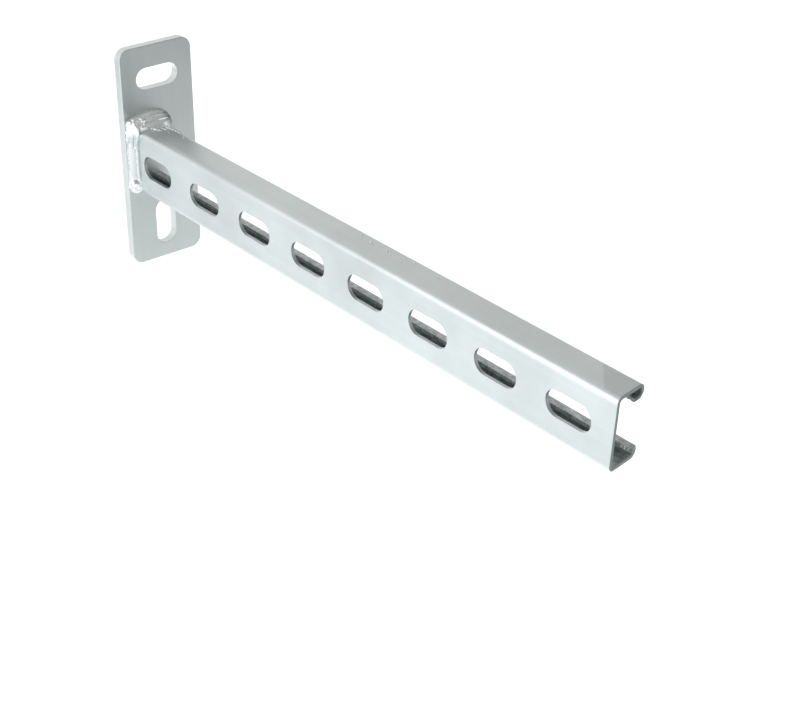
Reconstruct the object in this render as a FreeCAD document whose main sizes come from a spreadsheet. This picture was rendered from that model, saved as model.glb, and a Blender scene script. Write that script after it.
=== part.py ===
import FreeCAD
import Part
import math
import os
import Sketcher

# A cantilever arm for cable trays and pipes: a slotted cold-rolled strut channel
# welded square to a short base plate. Millimetres, +Z up. The origin is the centre
# of the plate's back face, +X runs out along the arm, +Y faces the channel's open side.

VECTOR = FreeCAD.Vector
NEAR = 1e-3

DRIVING_SIZES = {
    # Base plate, cut from flat bar
    "plate_thick": 6.0,
    "plate_wide": 50.0,
    "plate_high": 140.0,
    "plate_corner": 7.0,
    "plate_edge_ease": 0.3,
    "upper_slot_long": 29.0,
    "upper_slot_wide": 13.5,
    "upper_slot_rise": 49.5,
    "lower_slot_long": 30.0,
    "lower_slot_wide": 14.0,
    "lower_slot_drop": 46.0,
    # Strut channel, rolled from strip
    "channel_long": 405.0,
    "channel_high": 41.3,
    "channel_deep": 20.6,
    "channel_wall": 2.0,
    "channel_bend": 4.0,
    "lip_gap": 25.0,
    "lip_return": 7.1,
    "web_to_middle": 19.0,
    # Sawn end, a little out of square both ways
    "end_skew": 3.0,
    "end_lean": 2.1,
    # Obround slots along the web
    "web_slot_long": 30.0,
    "web_slot_wide": 14.5,
    "web_slot_pitch": 50.0,
    "web_slot_first": 25.0,
    "web_slot_end_margin": 5.0,
    # Serration on the edges of the inturned lips
    "tooth_pitch": 2.2,
    "tooth_mouth": 1.5,
    "tooth_depth": 0.5,
    "tooth_end_margin": 3.0,
    # Weld beads between channel and plate
    "weld_top_leg": 10.5,
    "weld_side_leg": 5.4,
    "weld_side_drop": 21.6,
    "weld_overhang": 6.5,
    "weld_mouth_clearance": 1.5,
    "weld_under_leg": 5.0,
    "weld_under_inset": 8.5,
}

# Slope of a weld bead's face between plate and channel, in degrees
WELD_FACE_ANGLE = 45.0
# Corner radius of a bead's outline on the plate, as a share of its leg: a little over
# one, so that the corner is still round where the sloping face meets the channel
BEAD_CORNER_SHARE = 1.05
# Depth of the channel's room in a bead, both ways together, as a share of plate and leg:
# enough to run past both ends of the bead
SEAT_DEPTH_SHARE = 4.0

doc = FreeCAD.newDocument("cantilever_strut_arm")
sizes = doc.addObject("Spreadsheet::Sheet", "sizes")


def fill_sheet():
    """Write each driving size into its own named cell."""
    for row, (alias, value) in enumerate(DRIVING_SIZES.items(), start=1):
        sizes.set(f"A{row}", alias)
        sizes.set(f"B{row}", str(value))
        sizes.setAlias(f"B{row}", alias)
    doc.recompute()


def value_of(formula):
    """The number that a formula on the sheet's sizes gives."""
    return float(sizes.evalExpression(formula))


def origin_plane(body, role):
    return next(plane for plane in body.Origin.OriginFeatures if plane.Role == role)


def new_body(label):
    body = doc.addObject("PartDesign::Body", label)
    body.Label = label
    return body


def new_sketch(body, name, role, offset="0"):
    """A sketch on an origin plane of the body, moved along that plane's normal."""
    sketch = body.newObject("Sketcher::SketchObject", name)
    sketch.AttachmentSupport = [(origin_plane(body, role), "")]
    sketch.MapMode = "FlatFace"
    sketch.setExpression("AttachmentOffset.Base.z", offset)
    return sketch


def bind(sketch, kind, *where, formula):
    """Add one dimension to a sketch and bind it to a formula."""
    constraint = Sketcher.Constraint(kind, *where, value_of(formula))
    index = sketch.addConstraint(constraint)
    sketch.setExpression(f"Constraints[{index}]", formula)


def pin_point(sketch, geometry, end, across, up):
    """Fix one point of a sketch by its two coordinates."""
    bind(sketch, "DistanceX", -1, 1, geometry, end, formula=across)
    bind(sketch, "DistanceY", -1, 1, geometry, end, formula=up)


def polygon(sketch, corners):
    """A closed outline of straight lines through corners given as formulas."""
    points = [VECTOR(value_of(across), value_of(up), 0) for across, up in corners]
    count = len(points)
    first = sketch.GeometryCount
    for index in range(count):
        sketch.addGeometry(Part.LineSegment(points[index], points[(index + 1) % count]))
    for index in range(count):
        following = first + (index + 1) % count
        sketch.addConstraint(Sketcher.Constraint("Coincident", first + index, 2, following, 1))
    for index, (across, up) in enumerate(corners):
        pin_point(sketch, first + index, 1, across, up)


def arc(centre, radius, start, end):
    """A circular arc between two angles in degrees."""
    circle = Part.Circle(centre, VECTOR(0, 0, 1), radius)
    return Part.ArcOfCircle(circle, math.radians(start), math.radians(end))


def obround(sketch, across, up, long, wide, upright=False):
    """A slot outline: two straight sides and two half-round ends."""
    half = value_of(f"(({long}) - ({wide})) / 2")
    radius = value_of(f"({wide}) / 2")
    middle = VECTOR(value_of(across), value_of(up), 0)
    along = VECTOR(0, 1, 0) if upright else VECTOR(1, 0, 0)
    side = VECTOR(-along.y, along.x, 0)
    far = middle + along * half
    near = middle - along * half
    turn = 90 if upright else 0
    sketch.addGeometry(arc(far, radius, turn - 90, turn + 90))
    sketch.addGeometry(arc(near, radius, turn + 90, turn + 270))
    sketch.addGeometry(Part.LineSegment(far + side * radius, near + side * radius))
    sketch.addGeometry(Part.LineSegment(near - side * radius, far - side * radius))
    for pair in ((0, 2, 2, 1), (2, 2, 1, 1), (1, 2, 3, 1), (3, 2, 0, 1)):
        sketch.addConstraint(Sketcher.Constraint("Tangent", *pair))
    bind(sketch, "Radius", 0, formula=f"({wide}) / 2")
    sketch.addConstraint(Sketcher.Constraint("Equal", 0, 1))
    reach = f"(({long}) - ({wide})) / 2"
    for circle, sign in ((0, "+"), (1, "-")):
        if upright:
            pin_point(sketch, circle, 3, across, f"({up}) {sign} {reach}")
        else:
            pin_point(sketch, circle, 3, f"({across}) {sign} {reach}", up)


def rounded_rectangle(sketch, left, right, low, high, radius):
    """A rectangle with four equal round corners."""
    x_low, x_high = value_of(left), value_of(right)
    y_low, y_high = value_of(low), value_of(high)
    bend = value_of(radius)
    corners = (
        (VECTOR(x_low + bend, y_low + bend, 0), 180),
        (VECTOR(x_high - bend, y_low + bend, 0), 270),
        (VECTOR(x_high - bend, y_high - bend, 0), 0),
        (VECTOR(x_low + bend, y_high - bend, 0), 90),
    )
    for centre, start in corners:
        sketch.addGeometry(arc(centre, bend, start, start + 90))
    for index in range(4):
        leaving = sketch.Geometry[index].EndPoint
        reaching = sketch.Geometry[(index + 1) % 4].StartPoint
        sketch.addGeometry(Part.LineSegment(leaving, reaching))
    for index in range(4):
        side = 4 + index
        sketch.addConstraint(Sketcher.Constraint("Tangent", index, 2, side, 1))
        sketch.addConstraint(Sketcher.Constraint("Tangent", side, 2, (index + 1) % 4, 1))
    for index in range(1, 4):
        sketch.addConstraint(Sketcher.Constraint("Equal", 0, index))
    bind(sketch, "Radius", 0, formula=radius)
    sketch.addConstraint(Sketcher.Constraint("Horizontal", 4))
    sketch.addConstraint(Sketcher.Constraint("Vertical", 5))
    bind(sketch, "DistanceY", -1, 1, 4, 1, formula=low)
    bind(sketch, "DistanceX", -1, 1, 5, 1, formula=right)
    bind(sketch, "DistanceY", -1, 1, 6, 1, formula=high)
    bind(sketch, "DistanceX", -1, 1, 7, 1, formula=left)


def pad(body, name, sketch, length):
    feature = body.newObject("PartDesign::Pad", name)
    feature.Profile = sketch
    feature.setExpression("Length", length)
    return feature


def pocket(body, name, sketch, length, both_ways=False, along_normal=False):
    """Cut a sketch out of the body and make sure that it took material away."""
    doc.recompute()
    before = body.Shape.Volume
    feature = body.newObject("PartDesign::Pocket", name)
    feature.Profile = sketch
    feature.setExpression("Length", length)
    feature.Reversed = along_normal
    if both_ways:
        feature.SideType = "Symmetric"
    doc.recompute()
    if not body.Shape.Volume < before:
        raise RuntimeError(f"{name} cuts nothing")
    return feature


def row_of(body, name, feature, sketch, spacing, count):
    """Repeat a cut along the arm."""
    pattern = body.newObject("PartDesign::LinearPattern", name)
    pattern.Originals = [feature]
    pattern.Direction = (sketch, ["H_Axis"])
    pattern.Mode = "Spacing"
    pattern.setExpression("Offset", spacing)
    pattern.setExpression("Occurrences", count)
    body.Tip = pattern
    return pattern


def edges_along_x(shape, spots):
    """Names of the straight edges along X that pass through the given (Y, Z) spots."""
    names = []
    for number, edge in enumerate(shape.Edges, start=1):
        start, end = edge.Vertexes[0].Point, edge.Vertexes[-1].Point
        if (end - start).cross(VECTOR(1, 0, 0)).Length > NEAR or edge.Length < NEAR:
            continue
        if any(math.hypot(start.y - y, start.z - z) < NEAR for y, z in spots):
            names.append(f"Edge{number}")
    return names


def dress_edges(body, kind, name, base, edge_names, size):
    """Round or bevel the named edges of a feature."""
    dressing = body.newObject(f"PartDesign::{kind}", name)
    dressing.Base = (base, edge_names)
    dressing.setExpression("Radius" if kind == "Fillet" else "Size", size)
    doc.recompute()
    return dressing


def build_base_plate():
    """Flat bar with round corners, a level slot above the arm and an upright one below."""
    body = new_body("base_plate")
    outline = new_sketch(body, "plate_outline", "YZ_Plane")
    rounded_rectangle(
        outline,
        "-sizes.plate_wide / 2",
        "sizes.plate_wide / 2",
        "-sizes.plate_high / 2",
        "sizes.plate_high / 2",
        "sizes.plate_corner",
    )
    blank = pad(body, "plate_blank", outline, "sizes.plate_thick")
    doc.recompute()
    rims = []
    thick = value_of("sizes.plate_thick")
    for number, edge in enumerate(blank.Shape.Edges, start=1):
        box = edge.BoundBox
        if box.XLength < NEAR and (abs(box.XMin) < NEAR or abs(box.XMin - thick) < NEAR):
            rims.append(f"Edge{number}")
    dress_edges(body, "Chamfer", "plate_rims", blank, rims, "sizes.plate_edge_ease")
    upper = new_sketch(body, "upper_slot_outline", "YZ_Plane")
    obround(upper, "0", "sizes.upper_slot_rise", "sizes.upper_slot_long", "sizes.upper_slot_wide")
    pocket(body, "upper_slot", upper, "3 * sizes.plate_thick", both_ways=True)
    lower = new_sketch(body, "lower_slot_outline", "YZ_Plane")
    obround(
        lower, "0", "-sizes.lower_slot_drop",
        "sizes.lower_slot_long", "sizes.lower_slot_wide", upright=True,
    )
    pocket(body, "lower_slot", lower, "3 * sizes.plate_thick", both_ways=True)
    return body


WEB_FACE = "-sizes.web_to_middle"
OPEN_FACE = "sizes.channel_deep - sizes.web_to_middle"
WEB_INSIDE = "sizes.channel_wall - sizes.web_to_middle"
LIP_INSIDE = "sizes.channel_deep - sizes.web_to_middle - sizes.channel_wall"
LIP_EDGE = "sizes.channel_deep - sizes.web_to_middle - sizes.lip_return"
FLANGE_FACE = "sizes.channel_high / 2"
FLANGE_INSIDE = "sizes.channel_high / 2 - sizes.channel_wall"
GAP_FACE = "sizes.lip_gap / 2"
GAP_INSIDE = "sizes.lip_gap / 2 + sizes.channel_wall"
OUTER_BEND = "min(sizes.channel_bend; 0.24 * (sizes.channel_high - sizes.lip_gap))"
INNER_BEND = f"max({OUTER_BEND} - sizes.channel_wall; 0.2)"


def channel_section(sketch):
    """The rolled section with square corners: web, two flanges, two lips turned inwards."""
    upper_half = [
        (WEB_FACE, FLANGE_FACE),
        (OPEN_FACE, FLANGE_FACE),
        (OPEN_FACE, GAP_FACE),
        (LIP_EDGE, GAP_FACE),
        (LIP_EDGE, GAP_INSIDE),
        (LIP_INSIDE, GAP_INSIDE),
        (LIP_INSIDE, FLANGE_INSIDE),
        (WEB_INSIDE, FLANGE_INSIDE),
    ]
    lower_half = [(across, f"-({up})") for across, up in reversed(upper_half)]
    polygon(sketch, upper_half + lower_half)


def bend_spots(corners):
    """Both mirror images of section corners, as (Y, Z) numbers."""
    return [
        (value_of(across), side * value_of(up))
        for across, up in corners
        for side in (1, -1)
    ]


def cut_end_out_of_square(body):
    """Trim the free end on a plane that leans back to the open side and downwards."""
    plane = body.newObject("PartDesign::Plane", "end_plane")
    plane.AttachmentSupport = [(origin_plane(body, "YZ_Plane"), "")]
    plane.MapMode = "FlatFace"
    swing = "atan(sizes.end_skew / sizes.channel_deep)"
    tip = f"atan(sizes.end_lean / sizes.channel_high * cos({swing}))"
    corner = f"vector({WEB_FACE}; {FLANGE_FACE}; sizes.plate_thick + sizes.channel_long)"
    plane.setExpression("AttachmentOffset", f"placement({corner}; rotation(0; {swing}; {tip}))")
    trim = body.newObject("Sketcher::SketchObject", "end_trim_outline")
    trim.AttachmentSupport = [(plane, "")]
    trim.MapMode = "FlatFace"
    reach = "2 * (sizes.channel_high + sizes.channel_deep)"
    polygon(trim, [
        (f"-({reach})", f"-({reach})"),
        (reach, f"-({reach})"),
        (reach, reach),
        (f"-({reach})", reach),
    ])
    stock = "2 * (sizes.end_skew + sizes.end_lean) + sizes.channel_wall"
    pocket(body, "end_trim", trim, stock, along_normal=True)


def build_strut_channel():
    """Slotted channel with inturned lips whose edges are serrated along their length."""
    body = new_body("strut_channel")
    section = new_sketch(body, "channel_section", "YZ_Plane", "sizes.plate_thick")
    channel_section(section)
    blank = pad(body, "channel_blank", section, "sizes.channel_long")
    doc.recompute()
    outside = bend_spots([
        (WEB_FACE, FLANGE_FACE),
        (OPEN_FACE, FLANGE_FACE),
        (OPEN_FACE, GAP_FACE),
    ])
    sharp_outside = edges_along_x(blank.Shape, outside)
    outer = dress_edges(body, "Fillet", "outer_bends", blank, sharp_outside, OUTER_BEND)
    inside = bend_spots([
        (WEB_INSIDE, FLANGE_INSIDE),
        (LIP_INSIDE, FLANGE_INSIDE),
        (LIP_INSIDE, GAP_INSIDE),
    ])
    sharp_inside = edges_along_x(outer.Shape, inside)
    dress_edges(body, "Fillet", "inner_bends", outer, sharp_inside, INNER_BEND)
    tooth = new_sketch(body, "tooth_outline", "XY_Plane")
    first = "sizes.plate_thick + sizes.tooth_end_margin"
    polygon(tooth, [
        (first, LIP_EDGE),
        (f"{first} + sizes.tooth_mouth", LIP_EDGE),
        (f"{first} + sizes.tooth_mouth / 2", f"{LIP_EDGE} + sizes.tooth_depth"),
    ])
    notch = pocket(
        body, "tooth_notch", tooth, "sizes.lip_gap + 4 * sizes.channel_wall", both_ways=True
    )
    row_of(
        body, "serration", notch, tooth, "sizes.tooth_pitch",
        "floor((sizes.channel_long - 2 * sizes.tooth_end_margin) / sizes.tooth_pitch)",
    )
    slot = new_sketch(body, "web_slot_outline", "XZ_Plane", "sizes.web_to_middle")
    obround(
        slot, "sizes.plate_thick + sizes.web_slot_first", "0",
        "sizes.web_slot_long", "sizes.web_slot_wide",
    )
    punch = pocket(body, "web_slot", slot, "2 * sizes.channel_wall")
    room = (
        "sizes.channel_long - sizes.web_slot_first - sizes.web_slot_long / 2"
        " - sizes.web_slot_end_margin"
    )
    row_of(
        body, "web_slots", punch, slot, "sizes.web_slot_pitch",
        f"floor(({room}) / sizes.web_slot_pitch) + 1",
    )
    doc.recompute()
    cut_end_out_of_square(body)
    return body


def laid_bead(body, name, left, right, low, high, leg):
    """Weld metal with a face at 45 degrees, spread over the plate where the channel stands."""
    toe = new_sketch(body, f"{name}_toe", "YZ_Plane", "sizes.plate_thick")
    rounded_rectangle(toe, left, right, low, high, f"{BEAD_CORNER_SHARE} * {leg}")
    bead = pad(body, name, toe, leg)
    bead.TaperAngle = -WELD_FACE_ANGLE


def make_room_for_channel(body, leg):
    """Take the channel's outline out of the weld metal, so that it lies against it."""
    seat = new_sketch(body, f"{body.Label}_seat_outline", "YZ_Plane")
    rounded_rectangle(seat, WEB_FACE, OPEN_FACE, f"-({FLANGE_FACE})", FLANGE_FACE, OUTER_BEND)
    depth = f"{SEAT_DEPTH_SHARE} * (sizes.plate_thick + {leg})"
    pocket(body, f"{body.Label}_seat", seat, depth, both_ways=True)


def keep_mouth_clear(body):
    """Stop the bead's far end short of the gap between the lips."""
    mouth = new_sketch(body, "mouth_outline", "YZ_Plane", "sizes.plate_thick")
    limit = f"{GAP_FACE} + sizes.weld_mouth_clearance"
    far = "sizes.plate_wide"
    polygon(mouth, [("0", f"-({far})"), (far, f"-({far})"), (far, limit), ("0", limit)])
    pocket(body, "mouth_clearance", mouth, "2 * sizes.weld_top_leg", along_normal=True)


def build_weld_upper():
    """One weld: up the web's side, round the corner and across the top flange."""
    body = new_body("weld_upper")
    laid_bead(
        body, "top_run",
        f"{WEB_FACE} - sizes.weld_side_leg",
        f"{OPEN_FACE} + sizes.weld_overhang",
        "0",
        f"{FLANGE_FACE} + sizes.weld_top_leg",
        "sizes.weld_top_leg",
    )
    laid_bead(
        body, "side_run",
        f"{WEB_FACE} - sizes.weld_side_leg",
        f"{WEB_FACE} + 2 * sizes.channel_bend",
        "-sizes.weld_side_drop",
        FLANGE_FACE,
        "sizes.weld_side_leg",
    )
    make_room_for_channel(body, "sizes.weld_top_leg")
    keep_mouth_clear(body)
    return body


def build_weld_lower():
    """A shorter run under the bottom flange."""
    body = new_body("weld_lower")
    laid_bead(
        body, "under_run",
        f"{WEB_FACE} + sizes.weld_under_inset",
        OPEN_FACE,
        f"-({FLANGE_FACE}) - sizes.weld_under_leg",
        f"-({FLANGE_FACE}) + 2 * sizes.weld_under_leg",
        "sizes.weld_under_leg",
    )
    make_room_for_channel(body, "sizes.weld_under_leg")
    return body


def check_document():
    """Stop if any object of the document failed to build."""
    for item in doc.Objects:
        if "Invalid" in item.State or "Error" in item.State:
            raise RuntimeError(f"{item.Label} failed: {item.State}")


def export_bodies(bodies):
    """Write each piece to its own file, once every shape is known to be sound."""
    for body in bodies:
        shape = body.Shape
        if shape.isNull() or not shape.isValid():
            raise RuntimeError(f"{body.Label} has no sound shape")
        print(body.Label, len(shape.Solids), "solid", round(shape.Volume), "mm3", shape.BoundBox)
    os.makedirs("parts", exist_ok=True)
    for body in bodies:
        body.Shape.exportStep(f"parts/{body.Label}.step")


fill_sheet()
pieces = [
    build_base_plate(),
    build_strut_channel(),
    build_weld_upper(),
    build_weld_lower(),
]
doc.recompute()
check_document()
export_bodies(pieces)
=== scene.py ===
import math
import random
import bpy
from mathutils import Matrix, Vector


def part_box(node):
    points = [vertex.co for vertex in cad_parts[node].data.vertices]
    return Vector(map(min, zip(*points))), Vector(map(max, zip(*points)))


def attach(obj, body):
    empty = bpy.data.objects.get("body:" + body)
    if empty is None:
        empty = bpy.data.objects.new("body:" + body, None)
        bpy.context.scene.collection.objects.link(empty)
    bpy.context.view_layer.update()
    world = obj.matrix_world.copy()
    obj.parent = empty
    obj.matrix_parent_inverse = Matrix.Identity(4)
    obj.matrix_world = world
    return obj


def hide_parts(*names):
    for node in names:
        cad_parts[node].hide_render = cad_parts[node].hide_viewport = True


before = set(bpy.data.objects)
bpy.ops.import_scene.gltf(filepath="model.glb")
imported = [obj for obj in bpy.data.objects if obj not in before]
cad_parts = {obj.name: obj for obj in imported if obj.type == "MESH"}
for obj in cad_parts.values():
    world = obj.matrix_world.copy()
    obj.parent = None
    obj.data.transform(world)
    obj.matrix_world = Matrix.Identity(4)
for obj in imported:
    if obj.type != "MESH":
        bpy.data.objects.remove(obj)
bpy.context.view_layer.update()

bl_info = {
    "name": "Cantilever strut arm",
    "version": (1, 0, 0),
    "blender": (4, 5, 0),
    "location": "View3D > Sidebar > Strut arm",
    "description": "Dresses a zinc plated cantilever arm: finish, weld beads, spatter and studio",
    "category": "Object",
}

MM = 0.001

_, PLATE_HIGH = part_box("base_plate")
ARM_LOW, ARM_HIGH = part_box("strut_channel")
PLATE_FRONT = PLATE_HIGH.x
WEB_FACE = ARM_LOW.y
OPEN_FACE = ARM_HIGH.y
FLANGE_TOP = ARM_HIGH.z
FLANGE_UNDER = ARM_LOW.z
# A hair under the channel's own bend, so that no gap shows where the weld meets it.
CHANNEL_BEND = 3.9 * MM
CHANNEL_WALL = 2.0 * MM
# Slack for telling the channel's inner faces from its outer ones.
SKIN = 0.05 * MM
# The leaning sawn end lies within this length.
SAWN_REACH = 9.0 * MM
# The darker patch on the top flange at the free end, and its soft edge.
END_PATCH = 28.4 * MM
PATCH_EDGE = 1.5 * MM
# The upper bend's soft edge dies out between these distances from the free end.
BEND_END = (7.0 * MM, 3.0 * MM)
# Limits of the normal's part along an axis, for faces that look along it, squarely or nearly,
# and for those that look away from it.
FACING_SQUARE = (0.9, 1.1)
FACING_NEAR = (0.7, 1.1)
FACING_ASIDE = (-0.6, 0.6)

# How metallic the thin coat inside the channel is, and the range of the speckle of painted shade
# there, which is darker on average.
INSIDE_METAL = 0.5
SPECKLE_SCALE = 420.0
SPECKLE_RANGE = (0.5, 1.15)
# Painted shade in the pocket under the upper lip: its brightness and the heights between which it
# sets in.
PAINTED_POCKET_SHADE = 0.62
POCKET_RISE = (8.0 * MM, 13.0 * MM)
# Scales of the coat's clouds, rolling grain and crystals, and the height of its dents and grain.
CLOUD_SCALE = 22.0
GRAIN_SCALE = 60.0
CRYSTAL_SCALE = 900.0
DENT_HEIGHT = 0.4 * MM
GRAIN_HEIGHT = 0.06 * MM
GRAIN_STRENGTH = 0.05
# What the clouds make of the gloss, the grain of the tint and the crystals of the gloss.
CLOUD_GLOSS = (0.90, 1.12)
GRAIN_TINT = (0.97, 1.02)
CRYSTAL_GLOSS = (0.92, 1.10)

# Painted light and shade on the weld, as tones against its colour: lighter at the corner and over
# the dome, darker on the run beside the web and at the dome's far end. In turn the foot and the run
# beside the web, the corner, the dome over the flange and the dome's far end, then the places
# between which they pass over.
FOOT_TONE = 1.03
RUN_TONE = 0.81
CORNER_TONE = 1.25
DOME_TONE = 1.10
DOME_END_TONE = 0.50
FOOT_TO_RUN = (-14.0 * MM, -8.0 * MM)
RUN_TO_CORNER = (15.0 * MM, 20.0 * MM)
CORNER_TO_DOME = (-12.0 * MM, -6.0 * MM)
DOME_TO_END = (-2.0 * MM, 4.5 * MM)

# Places and half sizes of the larger drops of weld metal, in millimetres.
SIDE_BLOBS = (
    ((7.2, -20.4, -15.2), (4.6, 3.9, 6.0)),
    ((7.4, -20.6, -18.2), (4.2, 3.7, 2.6)),
)
CORNER_LUMPS = (
    ((7.4, -21.4, 23.8), (3.6, 3.1, 3.8)),
    ((9.0, -19.6, 21.6), (3.4, 2.8, 3.8)),
    ((7.6, -18.6, 26.4), (3.2, 3.6, 2.6)),
)
# The fillet beside the web: its axis, its lower and upper radius and its lower and upper end.
SIDE_AXIS = (3.0, -15.9)
SIDE_RADII = (9.3, 8.8)
SIDE_ENDS = (-17.5, 21.5)
# The dome of weld over the top flange: its centre and half sizes.
TOP_DOME = (Vector((3.0, -7.6, 19.0)), Vector((12.1, 16.6, 11.66)))
# Ripples over the dome: their angles above the flange, their span across it and their radii.
DOME_RIPPLES = (34.0, 48.0, 62.0)
RIPPLE_SPAN = (-15.0, 3.5)
RIPPLE_RADII = (0.60, 0.22)
# Clouds of small drops: the centre, the reach along each axis, the range of radii, the number.
DROP_CLOUDS = (
    ((9.6, -18.6, 25.6), (2.6, 4.0, 2.8), (0.5, 1.2), 44),
    ((11.4, -12.0, 25.4), (1.4, 2.6, 1.6), (0.4, 0.9), 12),
)
# Below this height the weld stops at the channel's open face.
MOUTH_EDGE = 14.0 * MM
# Runs of weld metal: the points of the middle line, then the radius at its start and at its end.
FOLDS = (
    (((9.6, -22.0, 24.0), (9.5, -21.9, 17.0), (9.1, -22.0, 10.0)), 1.5, 0.6),
    (((12.0, -19.3, 21.0), (11.3, -19.7, 15.0), (10.5, -20.6, 9.0)), 1.4, 0.6),
    (((7.2, -23.2, 22.5), (7.5, -23.3, 13.0)), 1.1, 0.6),
    (((10.8, -19.8, 10.5), (10.9, -19.8, -12.0)), 0.8, 0.9),
)
TOE_RUN = (((6.3, -23.8, 19.5), (6.3, -23.9, -13.0)), 0.65, 0.75)
UNDER_RUNS = (
    (((7.2, -8.4, -21.6), (7.2, 0.0, -21.6)), 2.85, 2.85),
    (((6.6, -8.0, -23.3), (6.6, -0.6, -23.3)), 1.85, 1.85),
)
# Low ripples that run out from the weld over the top flange, with their radii in millimetres.
TAIL_RUNS = (
    (((12.0, -8.6, 20.8), (16.0, -5.2, 20.8), (21.0, -4.4, 20.7), (25.0, -5.6, 20.6)), 0.90, 0.35),
    (
        (
            (14.0, -3.4, 20.8),
            (18.5, -2.0, 20.8),
            (24.0, -1.0, 20.7),
            (31.0, -0.6, 20.6),
            (36.0, -2.2, 20.6),
        ),
        0.95,
        0.32,
    ),
    (((13.0, -11.0, 20.8), (17.0, -9.0, 20.7), (20.0, -7.6, 20.6)), 0.90, 0.40),
)
# Places of small drops on the top flange, along and across, and their radius, in millimetres.
FLECKS = (
    (37.3, -3.2, 0.75),
    (209.0, -3.7, 0.62),
    (211.5, -6.0, 0.45),
    (219.0, -5.3, 0.75),
    (221.5, -6.4, 0.55),
    (232.0, -4.8, 0.62),
    (236.5, -7.0, 0.55),
    (246.0, -7.4, 0.50),
    (252.0, -3.1, 0.60),
    (272.0, -4.9, 0.50),
)
# A small drop's half sizes along, across and up, as shares of its radius.
FLECK_SHAPE = (1.3, 0.9, 0.7)
SPATTER_GRAIN = 0.16 * MM
# Share of a drop's length by which the drops of a run follow each other.
DROP_SPACING = 0.6
# How far the blocks reach that cut the weld to the plate and the channel.
CUT_REACH = 60.0 * MM
# Points closer than this are one, and a shell with fewer faces is a sliver, not a drop.
SEAM_WIDTH = 0.01 * MM
LEAST_FACES = 60
SMOOTH_ANGLE = math.radians(50.0)

# The studio: table, surroundings, camera and key light, in metres. Only the width of the
# camera's film is in millimetres.
FLOOR_SIZE = 14.0
FLOOR_WHITE = 0.92
FLOOR_GLOW_TINT = (0.91, 0.97, 1.0, 1.0)
FAINT_GLOW = 0.60
SKY_TINT = (1.0, 0.985, 0.975, 1.0)
SKY_PASSAGE = (-1.0, -0.15)
SENSOR_WIDTH = 36.0
CLIP_RANGE = (0.05, 50.0)
KEY_PLACE = (-0.31, -1.17, 0.32)
KEY_AIM = (0.41, 0.0, 0.0)
KEY_SIZE = (0.80, 1.15)


class FinishSettings(bpy.types.PropertyGroup):
    """Colours and gloss of the zinc coat."""

    channel_colour: bpy.props.FloatVectorProperty(
        name="Channel colour",
        description="Zinc on the rolled strip",
        subtype="COLOR",
        size=3,
        default=(0.745, 0.80, 0.80),
    )
    plate_colour: bpy.props.FloatVectorProperty(
        name="Plate colour",
        description="Zinc on the flat bar",
        subtype="COLOR",
        size=3,
        default=(0.66, 0.705, 0.70),
    )
    weld_colour: bpy.props.FloatVectorProperty(
        name="Weld colour",
        description="Zinc on the weld beads",
        subtype="COLOR",
        size=3,
        default=(0.82, 0.86, 0.86),
    )
    channel_roughness: bpy.props.FloatProperty(
        name="Channel roughness",
        description="Gloss of the rolled strip, 0 is a mirror",
        default=0.40,
        min=0.05,
        max=1.0,
        subtype="FACTOR",
    )
    plate_roughness: bpy.props.FloatProperty(
        name="Plate roughness",
        description="Gloss of the flat bar, 0 is a mirror",
        default=0.40,
        min=0.05,
        max=1.0,
        subtype="FACTOR",
    )
    weld_roughness: bpy.props.FloatProperty(
        name="Weld roughness",
        description="Gloss of the weld beads, 0 is a mirror",
        default=0.27,
        min=0.05,
        max=1.0,
        subtype="FACTOR",
    )
    sawn_shade: bpy.props.FloatProperty(
        name="Sawn end shade",
        description="Brightness of the sawn end's thin coat against the rolled faces",
        default=0.42,
        min=0.0,
        max=1.0,
        subtype="FACTOR",
    )
    # Tone of the darker patch on the top flange at the free end.
    end_shade: bpy.props.FloatProperty(
        name="End tone",
        description="Brightness of the duller patch on the top flange at the free end",
        default=0.86,
        min=0.0,
        max=1.0,
        subtype="FACTOR",
    )
    # A painted highlight on the plate's narrow edges.
    bar_edge_highlight: bpy.props.FloatProperty(
        name="Bar edge shine",
        description="Brightness of the plate's narrow edges against its faces",
        default=1.25,
    )
    edge_round: bpy.props.FloatProperty(
        name="Edge rounding",
        description="Radius that the coat gives to sawn and punched edges",
        default=0.5 * MM,
        unit="LENGTH",
    )
    weld_edge_round: bpy.props.FloatProperty(
        name="Weld edge rounding",
        description="Radius that the coat gives to the edges of the weld",
        default=0.2 * MM,
        unit="LENGTH",
    )


class WeldSettings(bpy.types.PropertyGroup):
    """Sizes of the weld beads that show."""

    wander: bpy.props.FloatProperty(
        name="Wander",
        description="How far the runs stray from a straight line",
        default=0.12 * MM,
        unit="LENGTH",
    )
    bead_grain: bpy.props.FloatProperty(
        name="Bead grain",
        description="Voxel size that melts the runs into one bead",
        default=0.30 * MM,
        unit="LENGTH",
    )


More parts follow.
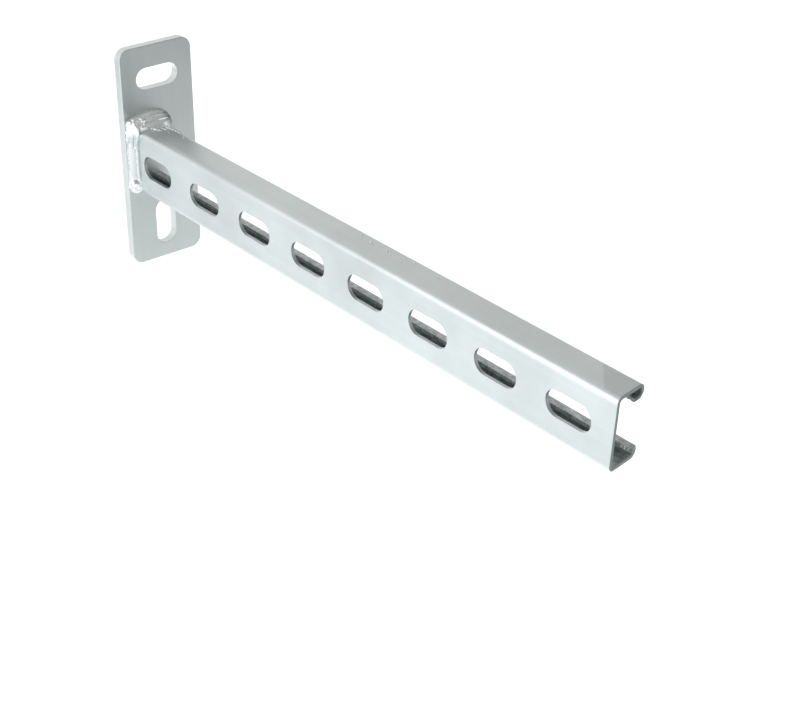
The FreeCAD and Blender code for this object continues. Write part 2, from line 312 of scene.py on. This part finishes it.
class StudioSettings(bpy.types.PropertyGroup):
    """Viewpoint and light of the studio."""

    camera_place: bpy.props.FloatVectorProperty(
        name="Camera place",
        description="Where the lens stands",
        size=3,
        subtype="XYZ",
        default=(0.8329, -0.4985, 0.4010),
    )
    azimuth: bpy.props.FloatProperty(
        name="Azimuth",
        description="Turn of the view from +Y towards -X",
        default=math.radians(50.07),
        subtype="ANGLE",
    )
    elevation: bpy.props.FloatProperty(
        name="Elevation",
        description="Angle at which the view looks down",
        default=math.radians(29.885),
        subtype="ANGLE",
    )
    roll: bpy.props.FloatProperty(
        name="Roll",
        description="Tilt of the frame about the line of sight",
        default=math.radians(0.643),
        subtype="ANGLE",
    )
    focal_length: bpy.props.FloatProperty(
        name="Focal length",
        description="Lens for a 36 mm wide sensor, in millimetres",
        default=74.87,
    )
    floor_depth: bpy.props.FloatProperty(
        name="Floor depth",
        description="How far the floor lies below the arm's middle",
        default=0.40,
        unit="LENGTH",
    )
    key_power: bpy.props.FloatProperty(
        name="Key power",
        description="Power of the low soft light that lies along the channel's upper bend, in watts",
        default=4.2,
    )
    sky_behind: bpy.props.FloatProperty(
        name="Surrounding light behind",
        description="Strength of the light from behind the plate",
        default=0.92,
    )
    sky_ahead: bpy.props.FloatProperty(
        name="Surrounding light ahead",
        description="Strength of the light from beyond the free end",
        default=0.42,
    )
    far_glow: bpy.props.FloatProperty(
        name="Table glow far in front",
        description="Light of the table below the key light, which runs into the upper bend",
        default=0.95,
    )
    front_glow: bpy.props.FloatProperty(
        name="Table glow in front",
        description="Light that the white table gives by itself before the web",
        default=0.35,
    )
    back_glow: bpy.props.FloatProperty(
        name="Table glow behind",
        description="Light that the white table gives by itself behind the arm",
        default=0.80,
    )


def deselect_all():
    if bpy.context.mode != "OBJECT":
        bpy.ops.object.mode_set(mode="OBJECT")
    bpy.ops.object.select_all(action="DESELECT")


def pick(*objects):
    """Select just these objects, the first one active."""
    deselect_all()
    for item in objects:
        item.select_set(True)
    bpy.context.view_layer.objects.active = objects[0]


def settle(piece):
    """Put the piece's place, turn and size into its mesh."""
    pick(piece)
    bpy.ops.object.transform_apply(location=True, rotation=True, scale=True)


def use_modifier(piece, kind, name, **values):
    """Add a modifier with these values and apply it."""
    pick(piece)
    modifier = piece.modifiers.new(name, kind)
    for key, value in values.items():
        setattr(modifier, key, value)
    bpy.ops.object.modifier_apply(modifier=modifier.name)


def wear_material(piece, material):
    piece.data.materials.clear()
    piece.data.materials.append(material)


def add_node(tree, kind, **values):
    """A shader node with its own properties set and its sockets filled by name."""
    node = tree.nodes.new(kind)
    sockets = values.pop("sockets", {})
    for key, value in values.items():
        setattr(node, key, value)
    for key, value in sockets.items():
        node.inputs[key].default_value = value
    return node


def surface_noise(tree, coordinates, stretch, scale, detail=4.0, rough=0.55):
    """Noise over the surface, stretched by a factor along each axis."""
    mapping = add_node(tree, "ShaderNodeMapping", sockets={"Scale": stretch})
    noise = add_node(
        tree,
        "ShaderNodeTexNoise",
        sockets={"Scale": scale, "Detail": detail, "Roughness": rough},
    )
    tree.links.new(coordinates, mapping.inputs["Vector"])
    tree.links.new(mapping.outputs["Vector"], noise.inputs["Vector"])
    return noise.outputs["Fac"]


def spread(tree, source, low, high, from_low=0.3, from_high=0.7):
    """Map a noise to a range of values."""
    node = add_node(
        tree,
        "ShaderNodeMapRange",
        sockets={"From Min": from_low, "From Max": from_high, "To Min": low, "To Max": high},
    )
    tree.links.new(source, node.inputs["Value"])
    return node.outputs["Result"]


def multiply(tree, first, second):
    node = add_node(tree, "ShaderNodeMath", operation="MULTIPLY")
    tree.links.new(first, node.inputs[0])
    tree.links.new(second, node.inputs[1])
    return node.outputs["Value"]


def within(tree, value, low, high):
    """One where the value lies between two limits, else nought."""
    node = add_node(tree, "ShaderNodeMath", operation="COMPARE")
    tree.links.new(value, node.inputs[0])
    node.inputs[1].default_value = (low + high) / 2.0
    node.inputs[2].default_value = (high - low) / 2.0
    return node.outputs["Value"]


def scale_where(tree, mask, shade):
    """A factor that is the given shade inside the mask and one outside it."""
    node = add_node(tree, "ShaderNodeMapRange", sockets={"To Min": 1.0, "To Max": shade})
    tree.links.new(mask, node.inputs["Value"])
    return node.outputs["Result"]


def fade(tree, value, start, end, first, last):
    """A soft passage between two places, from one number or socket to another."""
    node = add_node(
        tree,
        "ShaderNodeMapRange",
        interpolation_type="SMOOTHSTEP",
        sockets={"From Min": start, "From Max": end},
    )
    tree.links.new(value, node.inputs["Value"])
    for name, source in (("To Min", first), ("To Max", last)):
        if isinstance(source, bpy.types.NodeSocket):
            tree.links.new(source, node.inputs[name])
        else:
            node.inputs[name].default_value = source
    return node.outputs["Result"]


def split(tree, vector):
    node = add_node(tree, "ShaderNodeSeparateXYZ")
    tree.links.new(vector, node.inputs["Vector"])
    return node.outputs["X"], node.outputs["Y"], node.outputs["Z"]


def inside_channel(tree, across, up):
    """One on the faces inside the channel, else nought."""
    return multiply(
        tree,
        within(tree, across, WEB_FACE + CHANNEL_WALL - SKIN, OPEN_FACE - CHANNEL_WALL + SKIN),
        within(tree, up, FLANGE_UNDER + CHANNEL_WALL - SKIN, FLANGE_TOP - CHANNEL_WALL + SKIN),
    )


def channel_metal(tree):
    """The thinner coat inside the channel is matt, so it is less metallic than the outside."""
    _, across, up = split(tree, add_node(tree, "ShaderNodeTexCoord").outputs["Object"])
    return scale_where(tree, inside_channel(tree, across, up), INSIDE_METAL)


def weld_painted_light(tree):
    """Painted light on the weld: a painted highlight brightest at its corner, painted shade darkest
    at the far end of its dome.
    """
    _, across, up = split(tree, add_node(tree, "ShaderNodeTexCoord").outputs["Object"])
    run = fade(tree, up, *FOOT_TO_RUN, FOOT_TONE, RUN_TONE)
    side = fade(tree, up, *RUN_TO_CORNER, run, CORNER_TONE)
    top = fade(tree, across, *DOME_TO_END, DOME_TONE, DOME_END_TONE)
    return fade(tree, across, *CORNER_TO_DOME, side, top)


def channel_coat_and_painted_shade(tree, finish):
    """The channel's darker places: the sawn end, painted shade speckled over the inside and deeper
    in the upper lip's pocket, and the darker patch on the top flange at the free end.
    """
    source = add_node(tree, "ShaderNodeTexCoord")
    place = source.outputs["Object"]
    along, across, up = split(tree, place)
    facing_x, _, facing_z = split(tree, source.outputs["Normal"])
    end = multiply(
        tree,
        within(tree, along, ARM_HIGH.x - SAWN_REACH, ARM_HIGH.x + MM),
        within(tree, facing_x, *FACING_NEAR),
    )
    inside = inside_channel(tree, across, up)
    # Painted shade where the upper lip hangs over the inside of the channel.
    pocket = multiply(tree, inside, fade(tree, up, *POCKET_RISE, 0.0, 1.0))
    # The darker patch on the top flange at the free end, edged along a slant.
    slant = add_node(tree, "ShaderNodeMath", operation="ADD")
    tree.links.new(along, slant.inputs[0])
    tree.links.new(across, slant.inputs[1])
    patch_start = ARM_HIGH.x - END_PATCH
    patch = multiply(
        tree,
        fade(tree, slant.outputs["Value"], patch_start, patch_start + PATCH_EDGE, 0.0, 1.0),
        within(tree, facing_z, *FACING_SQUARE),
    )
    # Inside the channel the colour takes a speckle that is darker on average: painted shade, broken
    # up.
    grains = surface_noise(tree, place, (0.6, 1.0, 1.0), SPECKLE_SCALE, detail=3.0, rough=0.7)
    speckle = spread(tree, grains, *SPECKLE_RANGE)
    shade = add_node(tree, "ShaderNodeMix", data_type="FLOAT")
    shade.inputs["A"].default_value = 1.0
    tree.links.new(inside, shade.inputs["Factor"])
    tree.links.new(speckle, shade.inputs["B"])
    # The pocket under the upper lip is darkened with painted shade.
    shade = multiply(tree, shade.outputs["Result"], scale_where(tree, pocket, PAINTED_POCKET_SHADE))
    shade = multiply(tree, shade, scale_where(tree, end, finish.sawn_shade))
    return multiply(tree, shade, scale_where(tree, patch, finish.end_shade))


def bar_painted_highlight(tree, finish):
    """Painted highlight on the plate's narrow edges, which are made brighter than its faces."""
    facing_x = split(tree, add_node(tree, "ShaderNodeTexCoord").outputs["Normal"])[0]
    return scale_where(tree, within(tree, facing_x, *FACING_ASIDE), finish.bar_edge_highlight)


def bend_softness(tree, edge_round):
    """How far the light runs round the channel's edges: further along its upper web bend."""
    along, across, up = split(tree, add_node(tree, "ShaderNodeTexCoord").outputs["Object"])
    near_bend = multiply(
        tree,
        fade(tree, across, WEB_FACE + CHANNEL_BEND, WEB_FACE + 2.0 * CHANNEL_BEND, 1.0, 0.0),
        fade(tree, up, FLANGE_TOP - 2.0 * CHANNEL_BEND, FLANGE_TOP - CHANNEL_BEND, 0.0, 1.0),
    )
    start, end = (ARM_HIGH.x - distance for distance in BEND_END)
    inner = fade(tree, along, start, end, near_bend, 0.0)
    return fade(tree, inner, 0.0, 1.0, edge_round, CHANNEL_WALL - 2.0 * SKIN)


def zinc(
    name,
    colour,
    roughness,
    grain_stretch,
    edge_round,
    mottle=0.10,
    dents=0.25,
    coat=None,
    softness=None,
    bare=None,
):
    """Bright zinc plate: cloudy tint, rolling grain, fine crystals and softened edges.

    coat(tree), if given, returns a factor on the colour, which also carries painted light and shade,
    softness(tree) the radius of the edges and bare(tree) how metallic the surface is.
    """
    material = bpy.data.materials.new(name)
    material.use_nodes = True
    tree = material.node_tree
    shader = tree.nodes["Principled BSDF"]
    shader.inputs["Metallic"].default_value = 1.0
    place = add_node(tree, "ShaderNodeTexCoord").outputs["Object"]
    clouds = surface_noise(tree, place, (1.0, 1.0, 1.0), CLOUD_SCALE)
    grain = surface_noise(tree, place, grain_stretch, GRAIN_SCALE, detail=6.0, rough=0.7)
    crystals = surface_noise(tree, place, (1.0, 1.0, 1.0), CRYSTAL_SCALE, detail=2.0)

    shade = multiply(
        tree,
        spread(tree, clouds, 1.0 - mottle, 1.0 + mottle / 3.0),
        spread(tree, grain, *GRAIN_TINT),
    )
    # The coat factor carries painted light and shade too.
    if coat:
        shade = multiply(tree, shade, coat(tree))
    tint = add_node(tree, "ShaderNodeMix", data_type="RGBA", blend_type="MULTIPLY")
    tint.inputs["Factor"].default_value = 1.0
    tint.inputs["A"].default_value = (*colour, 1.0)
    tree.links.new(shade, tint.inputs["B"])
    tree.links.new(tint.outputs["Result"], shader.inputs["Base Color"])

    gloss = multiply(
        tree,
        spread(tree, clouds, *(roughness * share for share in CLOUD_GLOSS)),
        spread(tree, crystals, *CRYSTAL_GLOSS),
    )
    tree.links.new(gloss, shader.inputs["Roughness"])

    if bare:
        tree.links.new(bare(tree), shader.inputs["Metallic"])
    edges = add_node(tree, "ShaderNodeBevel", samples=8, sockets={"Radius": edge_round})
    if softness:
        tree.links.new(softness(tree), edges.inputs["Radius"])
    wide = add_node(
        tree, "ShaderNodeBump", sockets={"Strength": dents, "Distance": DENT_HEIGHT}
    )
    tree.links.new(clouds, wide.inputs["Height"])
    tree.links.new(edges.outputs["Normal"], wide.inputs["Normal"])
    fine = add_node(
        tree, "ShaderNodeBump", sockets={"Strength": GRAIN_STRENGTH, "Distance": GRAIN_HEIGHT}
    )
    tree.links.new(grain, fine.inputs["Height"])
    tree.links.new(wide.outputs["Normal"], fine.inputs["Normal"])
    tree.links.new(fine.outputs["Normal"], shader.inputs["Normal"])
    return material


def table_white(name, studio):
    """Matt white of the table, which glows behind the arm and less beyond its free end.

    The places of the fades are in metres along the arm and across it, from the part's origin.
    """
    material = bpy.data.materials.new(name)
    material.use_nodes = True
    tree = material.node_tree
    shader = tree.nodes["Principled BSDF"]
    shader.inputs["Base Color"].default_value = (FLOOR_WHITE, FLOOR_WHITE, FLOOR_WHITE, 1.0)
    shader.inputs["Roughness"].default_value = 0.9
    shader.inputs["Specular IOR Level"].default_value = 0.1
    shader.inputs["Emission Color"].default_value = FLOOR_GLOW_TINT
    place = add_node(tree, "ShaderNodeTexCoord").outputs["Object"]
    along, across, _ = split(tree, place)
    faint = FAINT_GLOW * studio.front_glow
    near = fade(tree, along, -1.1, 0.0, faint, studio.front_glow)
    far = fade(tree, along, -0.90, -0.25, faint, studio.far_glow)
    front = fade(tree, across, -1.05, -0.62, far, near)
    far_side = fade(tree, across, 0.0, 0.35, 1.0, 0.0)
    glow = multiply(
        tree,
        fade(tree, across, -0.38, -0.14, front, studio.back_glow),
        fade(tree, along, 0.25, 0.88, 1.0, far_side),
    )
    tree.links.new(glow, shader.inputs["Emission Strength"])
    return material


def dab(place, size, along=(0.0, 0.0, 1.0)):
    """One drop of weld metal: a ball with three half sizes, the last one laid along a line."""
    deselect_all()
    bpy.ops.mesh.primitive_uv_sphere_add(segments=16, ring_count=10, radius=1.0, location=place)
    ball = bpy.context.active_object
    ball.scale = size
    ball.rotation_euler = Vector(along).to_track_quat("Z", "Y").to_euler()
    settle(ball)
    return ball


def lay_run(run, dice, wander, swell, stretch):
    """A run of weld metal: drops that overlap along its middle line.

    Their radii stray by the share swell, and they are stretched along the line.
    """
    points, first, last = run
    first, last = first * MM, last * MM
    points = [Vector(point) * MM for point in points]
    spans = list(zip(points, points[1:]))
    whole = sum((end - start).length for start, end in spans)
    dabs = []
    done = 0.0
    for start, end in spans:
        span = end - start
        count = max(1, round(span.length / (DROP_SPACING * min(first, last) * stretch)))
        for index in range(count):
            share = (done + span.length * index / count) / whole
            radius = (first + (last - first) * share) * dice.uniform(1.0 - swell, 1.0 + swell)
            nudge = Vector([dice.uniform(-wander, wander) for _ in range(3)])
            place = start.lerp(end, index / count) + nudge
            dabs.append(dab(place, (radius, radius, radius * stretch), span))
        done += span.length
    return dabs


def scatter(centre, reach, sizes, count, dice):
    """Small drops strewn round a place, in millimetres."""
    drops = []
    for _ in range(count):
        shift = Vector([dice.uniform(-side, side) for side in reach])
        girth = dice.uniform(*sizes) * MM
        drops.append(dab((Vector(centre) + shift) * MM, (girth, girth, girth)))
    return drops


def fuse(pieces, name, grain, smoothing):
    """Join overlapping dabs and melt them into one skin."""
    pick(*pieces)
    bpy.ops.object.join()
    piece = bpy.context.active_object
    piece.name = name
    piece.data.name = name
    use_modifier(piece, "REMESH", "Melt", mode="VOXEL", voxel_size=grain, use_smooth_shade=True)
    use_modifier(piece, "SMOOTH", "Wash", factor=0.5, iterations=smoothing)
    return piece


def cut_away(piece, low, high, bend=0.0):
    """Take a block out of the piece, with round edges along X where bend is given."""
    deselect_all()
    middle = (low + high) / 2.0
    bpy.ops.mesh.primitive_cube_add(size=1.0, location=middle)
    block = bpy.context.active_object
    block.scale = high - low
    settle(block)
    if bend > 0.0:
        bpy.ops.object.mode_set(mode="EDIT")
        bpy.ops.mesh.select_mode(type="EDGE")
        bpy.ops.mesh.select_all(action="DESELECT")
        bpy.ops.object.mode_set(mode="OBJECT")
        for edge in block.data.edges:
            start, end = (block.data.vertices[index].co for index in edge.vertices)
            edge.select = abs((end - start).normalized().x) > 0.9
        bpy.ops.object.mode_set(mode="EDIT")
        bpy.ops.mesh.bevel(offset=bend, segments=10, affect="EDGES")
        bpy.ops.object.mode_set(mode="OBJECT")
    use_modifier(piece, "BOOLEAN", "Seat", operation="DIFFERENCE", object=block, solver="EXACT")
    pick(block)
    bpy.ops.object.delete()


def drop_crumbs(piece):
    """Join the seams of the cuts and take out the slivers and flaps that they leave."""
    name = piece.name
    pick(piece)
    bpy.ops.object.mode_set(mode="EDIT")
    bpy.ops.mesh.select_all(action="SELECT")
    bpy.ops.mesh.remove_doubles(threshold=SEAM_WIDTH)
    bpy.ops.mesh.quads_convert_to_tris()
    bpy.ops.mesh.select_mode(type="EDGE")
    bpy.ops.mesh.select_all(action="DESELECT")
    bpy.ops.mesh.select_non_manifold(
        extend=False,
        use_wire=True,
        use_boundary=False,
        use_multi_face=True,
        use_non_contiguous=False,
        use_verts=False,
    )
    if piece.data.total_vert_sel:
        bpy.ops.mesh.merge(type="COLLAPSE")
    bpy.ops.mesh.select_all(action="SELECT")
    bpy.ops.mesh.separate(type="LOOSE")
    bpy.ops.object.mode_set(mode="OBJECT")
    shells = sorted(
        bpy.context.selected_objects, key=lambda shell: len(shell.data.polygons), reverse=True
    )
    crumbs = [shell for shell in shells if len(shell.data.polygons) < LEAST_FACES]
    if crumbs:
        meshes = [crumb.data for crumb in crumbs]
        pick(*crumbs)
        bpy.ops.object.delete()
        for mesh in meshes:
            bpy.data.meshes.remove(mesh)
    pick(*shells[: len(shells) - len(crumbs)])
    bpy.ops.object.join()
    piece = bpy.context.active_object
    piece.name = name
    piece.data.name = name
    return piece


def seat_bead(piece):
    """Fit the bead to the plate's face and round the channel."""
    low = Vector((PLATE_FRONT - CUT_REACH, -CUT_REACH, -CUT_REACH))
    high = Vector((PLATE_FRONT, CUT_REACH, CUT_REACH))
    cut_away(piece, low, high)
    low = Vector((PLATE_FRONT - CUT_REACH, WEB_FACE, FLANGE_UNDER))
    high = Vector((ARM_HIGH.x + CUT_REACH, OPEN_FACE, FLANGE_TOP))
    cut_away(piece, low, high, CHANNEL_BEND)
    return drop_crumbs(piece)


def finish_piece(piece, slot_name, material, *nodes):
    """Shade the piece, give it its finish and let it ride on the part."""
    pick(piece)
    bpy.ops.object.shade_smooth_by_angle(angle=SMOOTH_ANGLE)
    wear_material(piece, material)
    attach(piece, "root")
    if nodes:
        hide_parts(*nodes)


class STRUT_OT_channel(bpy.types.Operator):
    """Give the strut channel its bright zinc finish"""

    bl_idname = "strutarm.channel"
    bl_label = "Strut channel"

    def execute(self, context):
        finish = context.scene.arm_finish
        material = zinc(
            "zinc_on_rolled_strip",
            finish.channel_colour,
            finish.channel_roughness,
            grain_stretch=(0.06, 5.0, 5.0),
            edge_round=finish.edge_round,
            coat=lambda tree: channel_coat_and_painted_shade(tree, finish),
            softness=lambda tree: bend_softness(tree, finish.edge_round),
            bare=channel_metal,
        )
        wear_material(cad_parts["strut_channel"], material)
        return {"FINISHED"}


class STRUT_OT_plate(bpy.types.Operator):
    """Give the base plate its zinc finish"""

    bl_idname = "strutarm.plate"
    bl_label = "Base plate"

    def execute(self, context):
        finish = context.scene.arm_finish
        material = zinc(
            "zinc_on_flat_bar",
            finish.plate_colour,
            finish.plate_roughness,
            grain_stretch=(3.0, 3.0, 0.08),
            edge_round=finish.edge_round,
            mottle=0.05,
            # The narrow edges carry a painted highlight.
            coat=lambda tree: bar_painted_highlight(tree, finish),
        )
        wear_material(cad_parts["base_plate"], material)
        return {"FINISHED"}


def side_fillet():
    """The body of the run beside the web, a little wider at its foot."""
    low, high = SIDE_ENDS
    deselect_all()
    bpy.ops.mesh.primitive_cone_add(
        vertices=128,
        radius1=SIDE_RADII[0] * MM,
        radius2=SIDE_RADII[1] * MM,
        depth=(high - low) * MM,
        location=Vector((*SIDE_AXIS, (low + high) / 2.0)) * MM,
    )
    fillet = bpy.context.active_object
    settle(fillet)
    return fillet


def dome_ripple(angle, first, last, steps=7):
    """A line over the dome at one angle above the flange, between two places across it."""
    centre, half = TOP_DOME
    points = []
    for step in range(steps):
        across = first + (last - first) * step / (steps - 1)
        reach = math.sqrt(1.0 - ((across - centre.y) / half.y) ** 2)
        points.append((
            centre.x + half.x * reach * math.cos(math.radians(angle)),
            across,
            centre.z + half.z * reach * math.sin(math.radians(angle)),
        ))
    return points


def upper_bead(settings):
    """The run beside the web, its folds and lump at the corner and the dome over the flange."""
    dice = random.Random(41)
    wander = settings.wander
    dabs = [side_fillet()]
    for run in FOLDS:
        dabs += lay_run(run, dice, wander, swell=0.05, stretch=2.0)
    dabs += lay_run(TOE_RUN, dice, wander, swell=0.25, stretch=1.4)
    for place, size in SIDE_BLOBS + CORNER_LUMPS + (TOP_DOME,):
        dabs.append(dab(Vector(place) * MM, Vector(size) * MM))
    for angle in DOME_RIPPLES:
        points = dome_ripple(angle, *RIPPLE_SPAN)
        dabs += lay_run((points, *RIPPLE_RADII), dice, wander, swell=0.10, stretch=2.4)
    for cloud in DROP_CLOUDS:
        dabs += scatter(*cloud, dice)
    bead = fuse(dabs, "weld_bead_upper", settings.bead_grain, smoothing=2)
    low = Vector((PLATE_FRONT - CUT_REACH, OPEN_FACE - MM, -CUT_REACH))
    cut_away(bead, low, Vector((PLATE_FRONT + CUT_REACH, CUT_REACH, MOUTH_EDGE)))
    return bead


def lower_bead(settings):
    """The run under the bottom flange."""
    dice = random.Random(7)
    dabs = []
    for run in UNDER_RUNS:
        dabs += lay_run(run, dice, settings.wander, swell=0.08, stretch=1.0)
    return fuse(dabs, "weld_bead_lower", settings.bead_grain, smoothing=2)


def spatter(settings):
    """Ripples that run out from the weld and small drops, all stuck to the top flange."""
    dice = random.Random(19)
    drops = []
    for run in TAIL_RUNS:
        drops += lay_run(run, dice, settings.wander, swell=0.12, stretch=2.2)
    for along, across, radius in FLECKS:
        place = Vector((along * MM, across * MM, FLANGE_TOP))
        drops.append(dab(place, Vector(FLECK_SHAPE) * radius * MM))
    return fuse(drops, "weld_spatter", SPATTER_GRAIN, smoothing=1)


class STRUT_OT_weld(bpy.types.Operator):
    """Lay the rippled weld beads between channel and plate"""

    bl_idname = "strutarm.weld"
    bl_label = "Weld beads"

    def execute(self, context):
        settings = context.scene.arm_weld
        finish = context.scene.arm_finish
        material = zinc(
            "zinc_on_weld",
            finish.weld_colour,
            finish.weld_roughness,
            grain_stretch=(1.0, 1.0, 1.0),
            edge_round=finish.weld_edge_round,
            dents=0.5,
            # Its tones by place are painted light and shade.
            coat=weld_painted_light,
        )
        upper = seat_bead(upper_bead(settings))
        finish_piece(upper, "weld_metal", material, "weld_upper")
        lower = seat_bead(lower_bead(settings))
        finish_piece(lower, "weld_metal", material, "weld_lower")
        drops = seat_bead(spatter(settings))
        finish_piece(drops, "weld_metal", material)
        return {"FINISHED"}


def area_light(name, place, target, size, power):
    """A soft rectangular light that faces its target."""
    data = bpy.data.lights.new(name, "AREA")
    data.shape = "RECTANGLE"
    data.size, data.size_y = size
    data.energy = power
    lamp = bpy.data.objects.new(name, data)
    bpy.context.scene.collection.objects.link(lamp)
    lamp.location = place
    lamp.rotation_euler = (Vector(target) - Vector(place)).to_track_quat("-Z", "Y").to_euler()


class STRUT_OT_studio(bpy.types.Operator):
    """Set the pale floor, the soft light and the camera"""

    bl_idname = "strutarm.studio"
    bl_label = "Studio"

    def execute(self, context):
        studio = context.scene.arm_studio
        self.lay_floor(studio)
        self.light_room(context.scene, studio)
        self.place_camera(context.scene, studio)
        return {"FINISHED"}

    def lay_floor(self, studio):
        deselect_all()
        bpy.ops.mesh.primitive_plane_add(
            size=FLOOR_SIZE, location=(0.0, 0.0, -studio.floor_depth)
        )
        floor = bpy.context.active_object
        floor.name = "pale_floor"
        wear_material(floor, table_white("pale_floor_paint", studio))

    def light_room(self, scene, studio):
        scene.view_settings.view_transform = "Standard"
        world = bpy.data.worlds.new("even_surroundings")
        world.use_nodes = True
        tree = world.node_tree
        background = tree.nodes["Background"]
        background.inputs["Color"].default_value = SKY_TINT
        ahead = split(tree, add_node(tree, "ShaderNodeTexCoord").outputs["Generated"])[0]
        strength = fade(tree, ahead, *SKY_PASSAGE, studio.sky_behind, studio.sky_ahead)
        tree.links.new(strength, background.inputs["Strength"])
        scene.world = world
        area_light("key_low", KEY_PLACE, KEY_AIM, KEY_SIZE, studio.key_power)

    def place_camera(self, scene, studio):
        lens = bpy.data.cameras.new("product_camera")
        lens.sensor_width = SENSOR_WIDTH
        lens.lens = studio.focal_length
        lens.clip_start, lens.clip_end = CLIP_RANGE
        camera = bpy.data.objects.new("product_camera", lens)
        scene.collection.objects.link(camera)
        aim = (
            Matrix.Rotation(studio.azimuth, 4, "Z")
            @ Matrix.Rotation(math.pi / 2.0 - studio.elevation, 4, "X")
            @ Matrix.Rotation(studio.roll, 4, "Z")
        )
        camera.matrix_world = Matrix.Translation(studio.camera_place) @ aim
        scene.camera = camera


class STRUT_PT_arm(bpy.types.Panel):
    """Lists the steps that dress the arm"""

    bl_idname = "STRUT_PT_arm"
    bl_label = "Strut arm"
    bl_space_type = "VIEW_3D"
    bl_region_type = "UI"
    bl_category = "Strut arm"

    def draw(self, context):
        for step in STEPS:
            self.layout.operator(step.bl_idname)
        for settings in (
            context.scene.arm_finish,
            context.scene.arm_weld,
            context.scene.arm_studio,
        ):
            for key in settings.bl_rna.properties.keys():
                if key not in ("rna_type", "name"):
                    self.layout.prop(settings, key)


SETTINGS = (
    ("arm_finish", FinishSettings),
    ("arm_weld", WeldSettings),
    ("arm_studio", StudioSettings),
)
STEPS = (STRUT_OT_channel, STRUT_OT_plate, STRUT_OT_weld, STRUT_OT_studio)


def register():
    for name, group in SETTINGS:
        bpy.utils.register_class(group)
        setattr(bpy.types.Scene, name, bpy.props.PointerProperty(type=group))
    for step in STEPS:
        bpy.utils.register_class(step)
    bpy.utils.register_class(STRUT_PT_arm)


def unregister():
    bpy.utils.unregister_class(STRUT_PT_arm)
    for step in reversed(STEPS):
        bpy.utils.unregister_class(step)
    for name, group in reversed(SETTINGS):
        delattr(bpy.types.Scene, name)
        bpy.utils.unregister_class(group)


def main():
    register()
    bpy.ops.strutarm.channel()
    bpy.ops.strutarm.plate()
    bpy.ops.strutarm.weld()
    bpy.ops.strutarm.studio()


if __name__ == "__main__":
    main()
